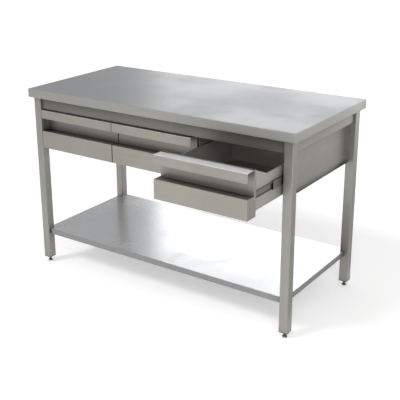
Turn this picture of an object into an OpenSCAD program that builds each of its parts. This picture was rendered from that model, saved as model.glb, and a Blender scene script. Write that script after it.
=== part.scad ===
// Stainless steel work table with three drawers side by side and a lower shelf.
// The third drawer stands open. Millimetres, +X to the right, +Y to the back, +Z up.
// The origin lies on the floor, under the centre of the worktop.

/* [Worktop] */
// Width of the worktop, left to right
top_w = 1400; // [1300:10:1600]
// Depth of the worktop, front to back
top_d = 650; // [640:10:700]
// Height of the working surface above the floor
table_h = 880; // [860:5:900]
// Thickness of the folded worktop edge
top_t = 40; // [38:1:50]
// Thickness of the sheet that is folded into the worktop, shelf, panels and drawers
sheet = 1.2; // [1:0.1:1.5]
// Width of the flange that is turned in under the worktop edge
top_return = 20; // [15:1:24]
// Thickness of the sound deadening board under the worktop sheet
board_t = 18; // [16:1:19]

/* [Frame] */
// Outside width of the square leg tube
leg_w = 40; // [38:1:42]
// Wall of the leg tube
leg_wall = 1.5; // [1.2:0.1:2]
// Distance from the worktop edge in to the outer face of a leg
leg_inset = 18; // [16:1:22]
// Height of the rails under the worktop
rail_h = 55; // [50:1:56]
// Depth of the rail channels
rail_deep = 30; // [24:1:30]
// Distance from the outer face of a leg in to the face of a rail
rail_back = 10; // [8:1:10]
// Wall of the rail channels
rail_wall = 1.5; // [1.2:0.1:2]

/* [Feet] */
// Distance from the floor up to the end of a leg
foot_h = 28; // [28:1:32]
// Radius of the threaded foot spindle
spindle_r = 6; // [5:0.5:6]
// Radius of the foot pad
pad_r = 11; // [10:0.5:14]

/* [Shelf] */
// Height of the shelf surface above the floor
shelf_z = 178; // [160:1:240]
// Height of the folded shelf edge
shelf_lip = 28; // [26:1:34]
// Distance from the outer face of the legs in to the shelf edge
shelf_inset_x = 20; // [16:1:22]
// Distance from the front and rear face of the legs in to the shelf edge
shelf_inset_y = 12; // [10:1:20]

/* [Drawers] */
// Gap between two drawer fronts
front_gap = 5; // [4:0.5:6]
// Height of a drawer front, from its lower edge to the top of the grip
front_h = 183; // [175:1:185]
// Height of the lip that the fingers close on
lip_h = 39; // [34:1:42]
// Depth of the finger recess behind the lip
grip_deep = 49; // [44:1:49]
// Height of the plain face below the finger recess
face_h = 83; // [76:1:86]
// Height of the drawer side wall above the lower edge of the front
wall_top = 141; // [130:1:145]
// Height of the tray floor above the lower edge of the front
floor_up = 15; // [12:1:20]
// Length of the drawer tray
tray_l = 496; // [480:1:496]
// How far the third drawer stands open
open_by = 261; // [0:1:380]

/* [Slides] */
// Length of each member of the drawer slides
slide_l = 450; // [440:1:450]
// Height of the slide member fixed to the casing
slide_h = 45; // [44:1:46]
// Height of the slide above the lower edge of the front, to its middle
slide_up = 82; // [78:1:86]

/* [Hidden] */
$fn = 48;

// Colours
steel = [0.72, 0.71, 0.68];
dark_steel = [0.45, 0.45, 0.43];
zinc = [0.62, 0.63, 0.62];
wood = [0.62, 0.50, 0.36];
nylon = [0.18, 0.18, 0.18];
rubber = [0.12, 0.12, 0.12];

// A small allowance that lets a cut run through a face
cut = 1;

// Worktop
under_top = table_h - top_t;
board_top = table_h - sheet;
board_under = board_top - board_t;

// Legs: outer faces, inner faces and middles, on the right and rear side
leg_out_x = top_w / 2 - leg_inset;
leg_out_y = top_d / 2 - leg_inset;
leg_in_x = leg_out_x - leg_w;
leg_in_y = leg_out_y - leg_w;
leg_x = leg_out_x - leg_w / 2;
leg_y = leg_out_y - leg_w / 2;
leg_corner = 3;

// Rails
rail_y = leg_out_y - rail_back;
rail_x = leg_out_x - rail_back;
rail_z = under_top - rail_h;

// Stiffening hat channels under the worktop and the shelf
hat_w = 40;
hat_lip = 15;
hat_h = board_under - under_top;

// Drawers
pitch = 2 * leg_in_x / 3;
front_w = pitch - front_gap;
front_z = rail_z - 5 - front_h;
front_y = -leg_out_y;
front_top = front_z + front_h;
box_deep = grip_deep + 12;
tray_y = front_y + box_deep;
tray_z = front_z + floor_up;
wall_z = front_z + wall_top;
slide_space = 11;
divider_t = 3;
tray_half = pitch / 2 - divider_t / 2 - slide_space;
gusset_l = 94;
front_flange = 30;
back_inset = 2;
wall_hem = 6;

// Slides: three nested channels, with a ball gap between them
slide_wall = 1.2;
ball_gap = 3.3;
ball_r = 1.3;
slide_z = front_z + slide_up;
slide_y = tray_y + 2;
middle_h = slide_h - 2 * slide_wall - 2 * ball_gap;
inner_h = middle_h - 2 * slide_wall - 2 * ball_gap;
cage_l = 220;
cage_y = slide_y + 114;
ball_step = 40;

// Panels
panel_z = front_z + 4;
panel_top = under_top - 2;
panel_t = 1.5;

// Screw rows that hold the panels, as heights above the floor
panel_rows = [panel_z + 40, panel_z + 140];
screw_r = 2;
screw_hole_r = 2.15;
bolt_r = 3;
bolt_l = 12;
bolt_hole_r = 3.3;
bracket_z = shelf_z - 14;

// A point set: puts the children at every point of a list
module at(points) {
  for (p = points) translate(p) children();
}

// The children, and their mirror image on the left side
module both_sides() {
  children();
  mirror([1, 0, 0]) children();
}

// The children in all four corners
module four_corners() {
  both_sides() {
    children();
    mirror([0, 1, 0]) children();
  }
}

// A rectangle with round corners, built from squares and circles
module round_rect(w, d, r) {
  square([w - 2 * r, d], center = true);
  square([w, d - 2 * r], center = true);
  for (sx = [-1, 1]) for (sy = [-1, 1])
    translate([sx * (w / 2 - r), sy * (d / 2 - r)]) circle(r);
}

// A channel along X. Its web stands at y = 0 and its flanges run to +Y.
module channel(l, h, deep, wall) {
  rotate([90, 0, 90]) linear_extrude(l, center = true) difference() {
    square([deep, h]);
    translate([wall, wall]) square([deep, h - 2 * wall]);
  }
}

// A hat channel along Y. Its crown lies at z = 0 and its lips at z = h.
module hat(l, h) {
  rotate([90, 0, 0]) linear_extrude(l, center = true) {
    translate([-hat_w / 2, 0]) square([hat_w, sheet]);
    for (s = [0, 1]) mirror([s, 0]) {
      translate([hat_w / 2 - sheet, 0]) square([sheet, h]);
      translate([hat_w / 2 - sheet, h - sheet]) square([hat_lip, sheet]);
    }
  }
}

// A pan head screw. Its head rests on z = 0 and its shank points down.
module pan_screw(l) {
  rotate_extrude() polygon([
    [0, -l], [screw_r, -l], [screw_r, 0], [4, 0], [4, 1.2], [3.2, 2.1], [0, 2.4]
  ]);
}

// A hexagon head bolt. Its head rests on z = 0 and its shank points down.
module hex_bolt(l) {
  cylinder(h = 4, r = 5.5, $fn = 6);
  translate([0, 0, -l]) cylinder(h = l + 0.5, r = bolt_r);
}

// ---- Worktop ----

module worktop_skin() color(steel) difference() {
  translate([-top_w / 2, -top_d / 2, under_top]) cube([top_w, top_d, top_t]);
  translate([-top_w / 2 + sheet, -top_d / 2 + sheet, under_top + sheet])
    cube([top_w - 2 * sheet, top_d - 2 * sheet, top_t - 2 * sheet]);
  translate([-top_w / 2 + top_return, -top_d / 2 + top_return, under_top - cut])
    cube([top_w - 2 * top_return, top_d - 2 * top_return, sheet + 2 * cut]);
}

module worktop_board() color(wood)
  translate([-top_w / 2 + sheet + 1, -top_d / 2 + sheet + 1, board_under])
    cube([top_w - 2 * sheet - 2, top_d - 2 * sheet - 2, board_t]);

// Across the table: one hat channel over each divider, and one near each end
stiffener_x = [-leg_in_x + 140, -pitch / 2, pitch / 2, leg_in_x - 140];
rail_bolts = [for (x = stiffener_x) for (s = [-1, 1]) [x, s * (rail_y - rail_deep / 2 - 2), 0]];

module worktop_stiffeners() color(zinc) difference() {
  for (x = stiffener_x) translate([x, 0, under_top])
    hat(top_d - 2 * top_return - 2, hat_h);
  at(rail_bolts) translate([0, 0, under_top - cut]) cylinder(h = sheet + 2 * cut, r = bolt_hole_r);
}

// ---- Frame ----

module long_rail() difference() {
  translate([0, -rail_y, rail_z]) channel(2 * leg_in_x, rail_h, rail_deep, rail_wall);
  at(rail_bolts) translate([0, 0, under_top - rail_wall - cut])
    cylinder(h = rail_wall + 2 * cut, r = bolt_hole_r);
}

module side_rail()
  translate([rail_x, 0, rail_z]) rotate([0, 0, 90])
    channel(2 * leg_in_y, rail_h, rail_deep, rail_wall);

module front_rail() color(steel) long_rail();
module rear_rail() color(steel) mirror([0, 1, 0]) long_rail();
module right_rail() color(steel) side_rail();
module left_rail() color(steel) mirror([1, 0, 0]) side_rail();

// Screw places on the face of the rear right leg that looks to the front
side_screw_x = leg_in_x + 16;
shelf_bolt_x = leg_in_x + 9;
rear_screw_y = leg_in_y + 18;

module shelf_bolt_hole() translate([shelf_bolt_x, leg_in_y + 5, bracket_z]) rotate([90, 0, 0])
  cylinder(h = 14, r = bolt_hole_r);

// The rear right leg. The other three are its mirror images.
module leg(rear) difference() {
  translate([leg_x, leg_y, foot_h]) linear_extrude(under_top - foot_h)
    round_rect(leg_w, leg_w, leg_corner);
  translate([leg_x, leg_y, foot_h - cut]) linear_extrude(under_top - foot_h + 2 * cut)
    round_rect(leg_w - 2 * leg_wall, leg_w - 2 * leg_wall, leg_corner - leg_wall);
  for (z = panel_rows) translate([side_screw_x, leg_in_y + 5, z])
    rotate([90, 0, 0]) cylinder(h = 10, r = screw_hole_r);
  shelf_bolt_hole();
  if (rear) for (z = panel_rows) translate([leg_in_x - 5, rear_screw_y, z])
    rotate([0, 90, 0]) cylinder(h = 10, r = screw_hole_r);
}

module leg_rear_right() color(steel) leg(true);
module leg_rear_left() color(steel) mirror([1, 0, 0]) leg(true);
module leg_front_right() color(steel) mirror([0, 1, 0]) leg(false);
module leg_front_left() color(steel) mirror([1, 0, 0]) mirror([0, 1, 0]) leg(false);

// ---- Feet ----

plug_rim = 3;
plug_deep = 20;
bush_r = spindle_r + 0.06;
nut_h = 5;
pad_h = 8;
spindle_top = 90;

module leg_plugs() color(nylon) four_corners() translate([leg_x, leg_y, 0]) difference() {
  union() {
    translate([0, 0, foot_h - plug_rim]) linear_extrude(plug_rim)
      round_rect(leg_w, leg_w, leg_corner);
    translate([0, 0, foot_h]) linear_extrude(plug_deep)
      round_rect(leg_w - 2 * leg_wall - 0.4, leg_w - 2 * leg_wall - 0.4, leg_corner - leg_wall);
  }
  translate([0, 0, foot_h - plug_rim - cut])
    cylinder(h = plug_rim + plug_deep + 2 * cut, r = bush_r);
}

module foot_lock_nuts() color(zinc) four_corners()
  translate([leg_x, leg_y, foot_h - plug_rim - nut_h]) difference() {
    cylinder(h = nut_h, r = 10, $fn = 6);
    translate([0, 0, -cut]) cylinder(h = nut_h + 2 * cut, r = bush_r);
  }

module foot() translate([leg_x, leg_y, 0]) rotate_extrude() polygon([
  [0, 0], [pad_r - 1, 0], [pad_r, 1], [pad_r, pad_h - 3], [spindle_r + 2, pad_h],
  [spindle_r, pad_h], [spindle_r, spindle_top - 1], [spindle_r - 1, spindle_top], [0, spindle_top]
]);

module foot_rear_right() color(zinc) foot();
module foot_rear_left() color(zinc) mirror([1, 0, 0]) foot();
module foot_front_right() color(zinc) mirror([0, 1, 0]) foot();
module foot_front_left() color(zinc) mirror([1, 0, 0]) mirror([0, 1, 0]) foot();

// ---- Lower shelf ----

shelf_x = leg_out_x - shelf_inset_x;
shelf_y = leg_out_y - shelf_inset_y;
leg_clear = 0.5;
shelf_return = 12;

module shelf_block(grow, z, h) {
  for (s = [[shelf_x, leg_in_y - leg_clear], [leg_in_x - leg_clear, shelf_y]])
    translate([-s[0] - grow, -s[1] - grow, z]) cube([2 * (s[0] + grow), 2 * (s[1] + grow), h]);
}

module lower_shelf() color(steel) difference() {
  shelf_block(0, shelf_z - shelf_lip, shelf_lip);
  shelf_block(-sheet, shelf_z - shelf_lip + sheet, shelf_lip - 2 * sheet);
  shelf_block(-shelf_return, shelf_z - shelf_lip - cut, sheet + 2 * cut);
  four_corners() shelf_bolt_hole();
}

shelf_hat_x = [-leg_in_x / 2, 0, leg_in_x / 2];

module shelf_stiffeners() color(zinc)
  for (x = shelf_hat_x) translate([x, 0, shelf_z - shelf_lip + sheet])
    hat(2 * (shelf_y - sheet) - 1, shelf_lip - 2 * sheet);

// An angle under the shelf. A bolt holds it and the shelf edge to the inner face of the leg.
bracket_t = 3;
bracket_w = 50;
bracket_deep = 38;
bracket_x = shelf_x - sheet - 1 - bracket_w;
bracket_y = leg_in_y - leg_clear - sheet;

module shelf_brackets() color(zinc) four_corners() difference() {
  union() {
    translate([bracket_x, bracket_y - bracket_t, shelf_z - sheet - 24])
      cube([bracket_w, bracket_t, 24]);
    translate([bracket_x, bracket_y - bracket_deep, shelf_z - sheet - bracket_t])
      cube([bracket_w, bracket_deep, bracket_t]);
  }
  shelf_bolt_hole();
}

// Bolts up through the rails into the hat channels, and through the shelf edge into the legs
module frame_bolts() color(zinc) {
  at(rail_bolts) translate([0, 0, under_top - rail_wall]) mirror([0, 0, 1]) hex_bolt(bolt_l);
  four_corners() translate([shelf_bolt_x, bracket_y - bracket_t, bracket_z])
    rotate([90, 0, 0]) hex_bolt(bolt_l);
}

// ---- Casing ----

panel_front = leg_in_y - 1;
panel_foot = 12;
side_flange = 26;

module side_panel() difference() {
  union() {
    translate([leg_in_x - panel_t, -panel_front, panel_z])
      cube([panel_t, 2 * panel_front, panel_top - panel_z]);
    translate([leg_in_x - panel_t, -panel_front, panel_z])
      cube([panel_t + panel_foot, 2 * panel_front, sheet]);
    for (s = [0, 1]) mirror([0, s, 0]) translate([leg_in_x - panel_t, leg_in_y - sheet, panel_z])
      cube([side_flange, sheet, rail_z - 1 - panel_z]);
  }
  for (z = panel_rows) translate([side_screw_x, 0, z]) rotate([90, 0, 0])
    cylinder(h = 2 * leg_out_y, r = screw_hole_r, center = true);
}

module right_side_panel() color(steel) side_panel();
module left_side_panel() color(steel) mirror([1, 0, 0]) side_panel();

module rear_panel() color(steel) difference() {
  union() {
    translate([-leg_in_x, leg_in_y + leg_clear, panel_z])
      cube([2 * leg_in_x, sheet, rail_z - 1 - panel_z]);
    both_sides() translate([leg_in_x - sheet, leg_in_y + leg_clear, panel_z])
      cube([sheet, side_flange, rail_z - 1 - panel_z]);
  }
  for (z = panel_rows) translate([0, rear_screw_y, z]) rotate([0, 90, 0])
    cylinder(h = top_w, r = screw_hole_r, center = true);
}

// A hanging wall between two drawers. It is a folded sheet with a flange along its top.
divider_l = panel_front - tray_y;

module divider() {
  translate([pitch / 2 - divider_t / 2, tray_y, panel_z])
    cube([divider_t, divider_l, panel_top - panel_z]);
  translate([pitch / 2 - hat_w / 2, tray_y, panel_top])
    cube([hat_w, divider_l, under_top - panel_top]);
}

module right_divider() color(steel) divider();
module left_divider() color(steel) mirror([1, 0, 0]) divider();

module panel_screws() color(zinc) {
  four_corners() for (z = panel_rows) translate([side_screw_x, leg_in_y - sheet, z])
    rotate([90, 0, 0]) pan_screw(9);
  both_sides() for (z = panel_rows) translate([leg_in_x - sheet, rear_screw_y, z])
    rotate([0, -90, 0]) pan_screw(9);
}

// ---- Drawers, each drawn closed and centred on x = 0 ----

lip_corner = 10;

module front_shell() {
  half = front_w / 2;
  face_top = front_z + face_h;
  translate([0, front_y + sheet, front_top - lip_h]) rotate([90, 0, 0]) linear_extrude(sheet) {
    translate([-half + lip_corner, 0]) square([front_w - 2 * lip_corner, lip_h]);
    translate([-half, lip_corner]) square([front_w, lip_h - lip_corner]);
    for (s = [-1, 1]) translate([s * (half - lip_corner), lip_corner]) circle(lip_corner);
  }
  translate([-half, front_y, front_top - sheet]) cube([front_w, grip_deep, sheet]);
  translate([-half, front_y + grip_deep - sheet, face_top - sheet])
    cube([front_w, sheet, front_top - face_top + sheet]);
  translate([-half, front_y, face_top - sheet]) cube([front_w, grip_deep, sheet]);
  translate([-half, front_y, front_z]) cube([front_w, sheet, face_h]);
  translate([-half, front_y, front_z]) cube([front_w, box_deep, sheet]);
  both_sides() {
    translate([half - sheet, front_y, front_z]) cube([sheet, box_deep, face_h]);
    translate([half - sheet, front_y + grip_deep - sheet, front_z])
      cube([sheet, box_deep - grip_deep + sheet, front_h]);
    difference() {
      translate([half - front_flange, tray_y - sheet, front_z]) cube([front_flange, sheet, front_h]);
      front_screw_holes();
    }
  }
}

front_screws = [for (z = [28, 118]) [tray_half - 11, tray_y, tray_z + z]];

module front_screw_holes()
  at(front_screws) rotate([90, 0, 0]) cylinder(h = 10, r = screw_hole_r, center = true);

module tray() difference() {
  union() {
    translate([-tray_half, tray_y, tray_z]) cube([2 * tray_half, tray_l, sheet]);
    translate([-tray_half, tray_y, tray_z]) cube([2 * tray_half, sheet, front_top - 2 - tray_z]);
  }
  both_sides() front_screw_holes();
}

// The side walls stand on the edges of the tray floor. A gusset raises their front end.
module tray_walls() both_sides() {
  translate([tray_half - sheet, 0, 0]) rotate([90, 0, 90]) linear_extrude(sheet) polygon([
    [tray_y + sheet, tray_z + sheet], [tray_y + tray_l, tray_z + sheet],
    [tray_y + tray_l, wall_z], [tray_y + gusset_l, wall_z], [tray_y + sheet, front_top - 2]
  ]);
  translate([tray_half - wall_hem, tray_y + gusset_l, wall_z - sheet])
    cube([wall_hem, tray_l - gusset_l - back_inset - sheet, sheet]);
}

module tray_back() {
  back_y = tray_y + tray_l - back_inset - sheet;
  half = tray_half - sheet;
  translate([-half, back_y, tray_z + sheet]) cube([2 * half, sheet, wall_z - tray_z - sheet]);
  translate([-half, back_y - 12, tray_z + sheet]) cube([2 * half, 12, sheet]);
}

module front_screw_set() both_sides()
  at([for (p = front_screws) p + [0, sheet, 0]]) rotate([-90, 0, 0]) pan_screw(9);

buffer_l = 13;

module buffers() both_sides()
  translate([tray_half - 60, tray_y + tray_l - back_inset, wall_z - 30]) rotate([-90, 0, 0])
    cylinder(h = buffer_l, r1 = 8, r2 = 6.5);

// The slide members stand beside the tray. Each is a channel with its web on edge.
outer_x = pitch / 2 - divider_t / 2;
web_gap = 1.4;
middle_x = outer_x - slide_wall - web_gap;
fixed_deep = 9;
middle_deep = 6.9;
inner_deep = 5.8;

module member(x, h, deep, facing) {
  translate([x, slide_y + slide_l / 2, slide_z - h / 2]) rotate([0, 0, facing])
    channel(slide_l, h, deep, slide_wall);
}

module slide_fixed() both_sides() member(outer_x, slide_h, fixed_deep, 90);
module slide_middle() both_sides() member(middle_x, middle_h, middle_deep, 90);
module slide_inner() both_sides() member(tray_half, inner_h, inner_deep, -90);

// A cage strip with its row of balls, above and below a slide member of height h
module balls(x, h) both_sides() for (s = [-1, 1])
  translate([x, cage_y, slide_z + s * (h + ball_gap) / 2]) {
    translate([-2, 0, -0.4]) cube([4, cage_l, 0.8]);
    for (y = [10 : ball_step : cage_l]) translate([0, y, 0]) sphere(ball_r, $fn = 24);
  }

module balls_outer() balls(outer_x - 6, middle_h);
module balls_inner() balls(outer_x - 7.5, inner_h);

// Places a piece of drawer number n. The share says how much of the opening it follows.
module place(n, share) {
  translate([(n - 2) * pitch, n == 3 ? -open_by * share : 0, 0]) children();
}

module drawer_front(n) color(steel) place(n, 1) front_shell();
module drawer_tray(n) color(steel) place(n, 1) tray();
module drawer_walls(n) color(steel) place(n, 1) tray_walls();
module drawer_back(n) color(steel) place(n, 1) tray_back();
module drawer_screws(n) color(zinc) place(n, 1) front_screw_set();
module drawer_buffers(n) color(rubber) place(n, 1) buffers();
module drawer_slide_inner(n) color(zinc) place(n, 1) slide_inner();
module drawer_slide_middle(n) color(zinc) place(n, 0.5) slide_middle();
module drawer_balls_outer(n) color(dark_steel) place(n, 0.25) balls_outer();
module drawer_balls_inner(n) color(dark_steel) place(n, 0.75) balls_inner();
module drawer_slide_fixed(n) color(zinc) place(n, 0) slide_fixed();

worktop_skin();
worktop_board();
worktop_stiffeners();
front_rail();
rear_rail();
left_rail();
right_rail();
leg_front_left();
leg_front_right();
leg_rear_left();
leg_rear_right();
leg_plugs();
foot_lock_nuts();
foot_front_left();
foot_front_right();
foot_rear_left();
foot_rear_right();
lower_shelf();
shelf_stiffeners();
shelf_brackets();
frame_bolts();
left_side_panel();
right_side_panel();
rear_panel();
left_divider();
right_divider();
panel_screws();
for (n = [1, 2, 3]) {
  drawer_slide_fixed(n);
  drawer_front(n);
  drawer_tray(n);
  drawer_walls(n);
  drawer_back(n);
  drawer_screws(n);
  drawer_buffers(n);
  drawer_slide_inner(n);
  drawer_slide_middle(n);
  drawer_balls_outer(n);
  drawer_balls_inner(n);
}
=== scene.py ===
"""A stainless steel work table with three drawers and a lower shelf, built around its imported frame."""

import math

import bmesh
import bpy
from bpy.props import FloatProperty, FloatVectorProperty, IntProperty, PointerProperty
from mathutils import Matrix, Vector


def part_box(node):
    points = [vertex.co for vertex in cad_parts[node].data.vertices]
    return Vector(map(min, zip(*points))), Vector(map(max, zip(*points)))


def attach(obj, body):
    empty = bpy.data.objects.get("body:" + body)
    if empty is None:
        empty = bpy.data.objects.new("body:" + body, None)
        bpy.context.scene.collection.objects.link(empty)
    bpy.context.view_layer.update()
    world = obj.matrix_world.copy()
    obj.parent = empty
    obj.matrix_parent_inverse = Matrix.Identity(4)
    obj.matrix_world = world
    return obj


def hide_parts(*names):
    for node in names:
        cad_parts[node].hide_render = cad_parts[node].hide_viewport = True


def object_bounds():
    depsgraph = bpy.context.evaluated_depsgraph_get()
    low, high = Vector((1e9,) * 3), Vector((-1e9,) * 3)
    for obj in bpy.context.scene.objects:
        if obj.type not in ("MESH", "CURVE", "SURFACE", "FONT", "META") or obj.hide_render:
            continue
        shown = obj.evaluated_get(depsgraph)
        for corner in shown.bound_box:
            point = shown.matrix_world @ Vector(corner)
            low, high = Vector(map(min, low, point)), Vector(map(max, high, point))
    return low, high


bl_info = {
    "name": "Stainless Work Table",
    "version": (1, 0, 0),
    "blender": (4, 5, 0),
    "location": "View3D > Sidebar > Work Table",
    "description": "Builds a stainless work table with three drawers and a lower shelf",
    "category": "Object",
}

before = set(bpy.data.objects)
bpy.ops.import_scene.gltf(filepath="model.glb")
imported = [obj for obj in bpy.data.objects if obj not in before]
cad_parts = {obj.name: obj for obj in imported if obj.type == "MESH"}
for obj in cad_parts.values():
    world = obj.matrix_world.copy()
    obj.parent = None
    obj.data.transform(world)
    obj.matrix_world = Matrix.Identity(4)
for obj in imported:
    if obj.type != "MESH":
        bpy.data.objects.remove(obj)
CAD_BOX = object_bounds()
BOX = {name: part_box(name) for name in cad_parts}
CORNERS = ("front_left", "front_right", "rear_left", "rear_right")
DRAWERS = (1, 2, 3)
BEND_STEPS = 5
ROUND_SIDES = 32
SMOOTH_ANGLE = 38.0
LEAST_CORNER = 0.0002
NOTCH_CORNER = 0.0006


# ---- Sizes and finishes that a user would change ----


def length(name, description, default, low=0.0, high=1.0):
    """A length property in metres."""
    return FloatProperty(
        name=name,
        description=description,
        default=default,
        min=low,
        max=high,
        precision=4,
        subtype="DISTANCE",
        unit="LENGTH",
    )


def number(name, description, default, low=0.0, high=1000.0):
    """A plain number property."""
    return FloatProperty(name=name, description=description, default=default, min=low, max=high)


def count(name, description, default, low, high):
    """A whole number property."""
    return IntProperty(name=name, description=description, default=default, min=low, max=high)


def tint(name, description, default):
    """A colour property."""
    return FloatVectorProperty(
        name=name,
        description=description,
        default=default,
        size=3,
        min=0.0,
        max=1.0,
        subtype="COLOR",
    )


class SheetSizes(bpy.types.PropertyGroup):
    """Walls and bends of the folded sheet and tube."""

    sheet: length("Sheet", "Thickness of the folded sheet", 0.0012, 0.0005, 0.003)
    top_bend: length("Worktop bend", "Outer radius of the worktop's bends", 0.003, 0.001, 0.008)
    shelf_bend: length("Shelf bend", "Outer radius of the shelf's bends", 0.00255, 0.001, 0.008)
    slide_bend: length("Slide bend", "Radius of the bends of a slide member", 0.0016, 0.001, 0.004)
    bend: length("Bend", "Radius of the other bends, to the middle of the sheet", 0.0018, 0.0008, 0.006)
    top_corner: length("Worktop corner", "Radius of the welded worktop corners", 0.003, 0.0005, 0.01)
    top_return: length("Worktop return", "Width of the flange under the worktop edge", 0.020, 0.01, 0.03)
    shelf_return: length("Shelf return", "Width of the flange under the shelf edge", 0.012, 0.005, 0.02)
    shelf_corner: length("Shelf corner", "Radius of the shelf's corners", 0.0015, 0.0005, 0.01)
    shelf_gap: length("Shelf gap", "Gap between a leg and the notch in the shelf", 0.0005, 0.0, 0.002)
    rail_wall: length("Rail wall", "Wall of the rail channels", 0.0015, 0.001, 0.003)
    panel_wall: length("Panel wall", "Wall of the side panels", 0.0015, 0.001, 0.003)
    panel_foot: length("Panel foot", "Width of the flange at the foot of a side panel", 0.012, 0.005, 0.02)
    leg_wall: length("Leg wall", "Wall of the leg tube", 0.0015, 0.001, 0.003)
    leg_corner: length("Leg corner", "Radius of the leg tube's corners", 0.003, 0.001, 0.006)
    hat_width: length("Channel crown", "Width of a stiffening channel's crown", 0.040, 0.02, 0.06)
    hat_brim: length("Channel brim", "Width of a stiffening channel's brims", 0.015, 0.01, 0.02)
    edge: length("Edge", "Rounding of the cut sheet edges", 0.0003, 0.0, 0.0006)


class DrawerSizes(bpy.types.PropertyGroup):
    """The folds of a drawer and the members of its slides."""

    lip: length("Lip height", "Height of the lip that the fingers close on", 0.039, 0.02, 0.06)
    lip_corner: length("Lip corner", "Radius of the lip's lower corners", 0.010, 0.002, 0.02)
    face: length("Face height", "Height of the plain face below the recess", 0.083, 0.05, 0.12)
    grip: length("Recess depth", "Depth of the finger recess", 0.049, 0.03, 0.06)
    flange: length("Rear flange", "Width of the flange that the tray is screwed to", 0.030, 0.015, 0.04)
    gusset: length("Gusset length", "Length of the raised front end of a tray wall", 0.094, 0.05, 0.2)
    hem: length("Wall hem", "Width of the hem along a tray wall", 0.006, 0.003, 0.012)
    fixed_deep: length("Fixed member", "Depth of the slide member on the casing", 0.009, 0.006, 0.012)
    middle_deep: length("Middle member", "Depth of the middle slide member", 0.0069, 0.005, 0.009)
    inner_deep: length("Inner member", "Depth of the slide member on the tray", 0.0058, 0.004, 0.008)
    ball: length("Ball radius", "Radius of a slide's steel balls", 0.0013, 0.001, 0.002)
    ball_step: length("Ball step", "Distance from one ball to the next", 0.040, 0.01, 0.06)
    balls: count("Balls", "Balls in a row", 6, 2, 20)


class FastenerSizes(bpy.types.PropertyGroup):
    """Screw heads, bolt heads, nuts and threads."""

    head: length("Screw head", "Radius of a pan head", 0.004, 0.002, 0.006)
    head_high: length("Screw head height", "Height of a pan head", 0.0024, 0.001, 0.004)
    bolt_head: length("Bolt head", "Radius of a bolt head over its corners", 0.0055, 0.004, 0.01)
    bolt_high: length("Bolt head height", "Height of a bolt head", 0.004, 0.002, 0.006)
    screw_shank: length("Screw shank", "Radius of a screw's shank", 0.0019, 0.001, 0.0021)
    cross_deep: length("Cross depth", "Depth of the cross in a screw's head", 0.0014, 0.0005, 0.002)
    bolt_shank: length("Bolt shank", "Radius of a bolt's shank", 0.0029, 0.002, 0.0032)
    nut: length("Lock nut", "Radius of a lock nut over its corners", 0.010, 0.008, 0.012)
    nut_bore: length("Nut bore", "Radius of a lock nut's bore", 0.00606, 0.005, 0.007)
    pitch: length("Thread pitch", "Pitch of the foot spindle's thread", 0.00175, 0.001, 0.003)
    core: length("Thread core", "Radius of the spindle under its thread", 0.0052, 0.004, 0.006)
    thread: length("Thread", "Radius of the middle of the thread's ridge", 0.0053, 0.004, 0.006)
    ridge: length("Ridge", "Half width of the thread's ridge", 0.00066, 0.0003, 0.001)
    thread_start: length("Thread start", "Height of the thread's start above the floor", 0.0092, 0.008, 0.02)
    turns: count("Thread turns", "Turns of thread on a spindle", 40, 4, 60)


class FinishSettings(bpy.types.PropertyGroup):
    """Colours of the object's finishes."""

    # worktop and worktop_edge are one folded sheet: the top's lighter, cooler colour is painted sheen.
    worktop: tint("Worktop", "Satin sheet of the worktop", (0.41, 0.422, 0.44))
    worktop_edge: tint("Worktop edge", "Folded edge of the worktop", (0.32, 0.314, 0.286))
    sheet: tint("Sheet", "Satin sheet of the casing", (0.31, 0.301, 0.27))
    # The front and rear rails are painted darker than the sheet: painted shade under the worktop's overhang.
    rail: tint("Rail", "Satin sheet of the rails", (0.20, 0.197, 0.178))
    tube: tint("Tube", "Satin tube of the legs", (0.31, 0.302, 0.275))
    # shelf and shelf_edge are one folded sheet: the top's much lighter colour is painted sheen.
    shelf: tint("Shelf", "Bright satin sheet of the shelf", (0.62, 0.63, 0.65))
    shelf_edge: tint("Shelf edge", "Folded edge of the shelf", (0.25, 0.25, 0.25))
    front: tint("Drawer fronts", "Satin sheet of the drawer fronts", (0.32, 0.309, 0.272))
    # The near white tops of the drawer fronts are a painted highlight.
    front_top_highlight: tint("Drawer top edges", "Lying faces of the drawer fronts", (0.95, 0.95, 0.97))
    tray: tint("Drawer trays", "Satin sheet of the trays", (0.38, 0.375, 0.345))
    zinc: tint("Zinc", "Zinc plated strip", (0.27, 0.27, 0.255))
    turned: tint("Turned steel", "Turned steel of the feet", (0.33, 0.32, 0.30))
    roughness: number("Satin", "Roughness of the satin sheet", 0.40, 0.05, 1.0)


class StageSettings(bpy.types.PropertyGroup):
    """Camera, floor and lights."""

    eye: FloatVectorProperty(
        name="Eye",
        description="Place of the camera",
        default=(2.022217, -2.910453, 1.707311),
        size=3,
        subtype="XYZ",
        unit="LENGTH",
    )
    turn: number("Turn", "Camera's turn to the left of +Y, in degrees", 36.0335, -360.0, 360.0)
    tilt: number("Tilt", "Camera's tilt below the horizon, in degrees", 18.3177, -90.0, 90.0)
    roll: number("Roll", "Camera's roll, in degrees", -0.7409, -180.0, 180.0)
    lens: number("Lens", "Focal length in millimetres", 72.5695, 20.0, 200.0)
    shift: FloatVectorProperty(
        name="Shift", description="Camera shift, across and up", default=(0.06374, -0.08288), size=2
    )
    floor: tint("Floor", "Colour of the floor", (0.93, 0.93, 0.93))
    glow: number("Floor glow", "Light that the floor gives off", 0.38)
    sky: number("Room light", "Strength of the even light of the room", 0.52)
    key: number("Key light", "Strength of the light from the front left", 0.9)
    box: number("Soft box", "Radiance of the soft box at the front right", 3.3)
    back: number("Back light", "Radiance of the wide panel at the back", 1.5)
    right_card: number("Right card", "Brightness of the grey card on the right of the floor", 0.52)
    left_card: number("Left card", "Brightness of the grey card on the left of the floor", 0.728)


# ---- Mesh helpers ----


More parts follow.
